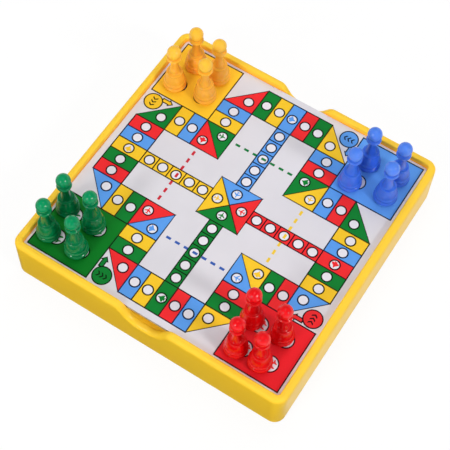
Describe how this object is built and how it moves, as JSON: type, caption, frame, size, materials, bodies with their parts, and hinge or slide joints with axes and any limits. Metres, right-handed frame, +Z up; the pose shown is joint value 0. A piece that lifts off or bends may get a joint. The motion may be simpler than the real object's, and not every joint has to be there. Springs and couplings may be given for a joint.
{
  "type": "boxed ludo board game",
  "caption": "Square flat game case whose raised rim frames a lift-out ludo board with pawns on it; storage space for the pieces under the board.",
  "frame": {"origin": "centre of the case's base, on the surface it stands on", "axes": "+X to the right along the front edge, +Y to the back edge, +Z up through the playing face"},
  "size_m": [0.16, 0.16, 0.0572],
  "materials": {
    "case_plastic": "glossy moulded polypropylene, warm yellow",
    "board_core": "stiff grey-brown board",
    "printed_sheet": "coated paper with a printed track, pale lavender grey ground",
    "die_plastic": "polished ivory white",
    "yellow_plastic": "translucent glossy plastic, amber yellow",
    "blue_plastic": "translucent glossy plastic, bright blue",
    "red_plastic": "translucent glossy plastic, ruby red",
    "green_plastic": "translucent glossy plastic, emerald green"
  },
  "bodies": {
    "case": {"case": "case_plastic"},
    "board": {"board_panel": "board_core", "board_print": "printed_sheet"},
    "die": {"die": "die_plastic"},
    "pawn_yellow_1": {"pawn_yellow_1": "yellow_plastic"},
    "pawn_yellow_2": {"pawn_yellow_2": "yellow_plastic"},
    "pawn_yellow_3": {"pawn_yellow_3": "yellow_plastic"},
    "pawn_yellow_4": {"pawn_yellow_4": "yellow_plastic"},
    "pawn_blue_1": {"pawn_blue_1": "blue_plastic"},
    "pawn_blue_2": {"pawn_blue_2": "blue_plastic"},
    "pawn_blue_3": {"pawn_blue_3": "blue_plastic"},
    "pawn_blue_4": {"pawn_blue_4": "blue_plastic"},
    "pawn_red_1": {"pawn_red_1": "red_plastic"},
    "pawn_red_2": {"pawn_red_2": "red_plastic"},
    "pawn_red_3": {"pawn_red_3": "red_plastic"},
    "pawn_red_4": {"pawn_red_4": "red_plastic"},
    "pawn_green_1": {"pawn_green_1": "green_plastic"},
    "pawn_green_2": {"pawn_green_2": "green_plastic"},
    "pawn_green_3": {"pawn_green_3": "green_plastic"},
    "pawn_green_4": {"pawn_green_4": "green_plastic"}
  },
  "joints": [
    {"name": "board_lift", "type": "slide", "parent": "case", "child": "board", "axis": [0, 0, 1], "range_m": [0, 0.03]},
    {"name": "die_lift", "type": "slide", "parent": "case", "child": "die", "axis": [0, 0, 1], "range_m": [0, 0.009]},
    {"name": "pawn_yellow_1_lift", "type": "slide", "parent": "board", "child": "pawn_yellow_1", "axis": [0, 0, 1], "range_m": [0, 0.035]},
    {"name": "pawn_yellow_2_lift", "type": "slide", "parent": "board", "child": "pawn_yellow_2", "axis": [0, 0, 1], "range_m": [0, 0.035]},
    {"name": "pawn_yellow_3_lift", "type": "slide", "parent": "board", "child": "pawn_yellow_3", "axis": [0, 0, 1], "range_m": [0, 0.035]},
    {"name": "pawn_yellow_4_lift", "type": "slide", "parent": "board", "child": "pawn_yellow_4", "axis": [0, 0, 1], "range_m": [0, 0.035]},
    {"name": "pawn_blue_1_lift", "type": "slide", "parent": "board", "child": "pawn_blue_1", "axis": [0, 0, 1], "range_m": [0, 0.035]},
    {"name": "pawn_blue_2_lift", "type": "slide", "parent": "board", "child": "pawn_blue_2", "axis": [0, 0, 1], "range_m": [0, 0.035]},
    {"name": "pawn_blue_3_lift", "type": "slide", "parent": "board", "child": "pawn_blue_3", "axis": [0, 0, 1], "range_m": [0, 0.035]},
    {"name": "pawn_blue_4_lift", "type": "slide", "parent": "board", "child": "pawn_blue_4", "axis": [0, 0, 1], "range_m": [0, 0.035]},
    {"name": "pawn_red_1_lift", "type": "slide", "parent": "board", "child": "pawn_red_1", "axis": [0, 0, 1], "range_m": [0, 0.035]},
    {"name": "pawn_red_2_lift", "type": "slide", "parent": "board", "child": "pawn_red_2", "axis": [0, 0, 1], "range_m": [0, 0.035]},
    {"name": "pawn_red_3_lift", "type": "slide", "parent": "board", "child": "pawn_red_3", "axis": [0, 0, 1], "range_m": [0, 0.035]},
    {"name": "pawn_red_4_lift", "type": "slide", "parent": "board", "child": "pawn_red_4", "axis": [0, 0, 1], "range_m": [0, 0.035]},
    {"name": "pawn_green_1_lift", "type": "slide", "parent": "board", "child": "pawn_green_1", "axis": [0, 0, 1], "range_m": [0, 0.035]},
    {"name": "pawn_green_2_lift", "type": "slide", "parent": "board", "child": "pawn_green_2", "axis": [0, 0, 1], "range_m": [0, 0.035]},
    {"name": "pawn_green_3_lift", "type": "slide", "parent": "board", "child": "pawn_green_3", "axis": [0, 0, 1], "range_m": [0, 0.035]},
    {"name": "pawn_green_4_lift", "type": "slide", "parent": "board", "child": "pawn_green_4", "axis": [0, 0, 1], "range_m": [0, 0.035]}
  ]
}
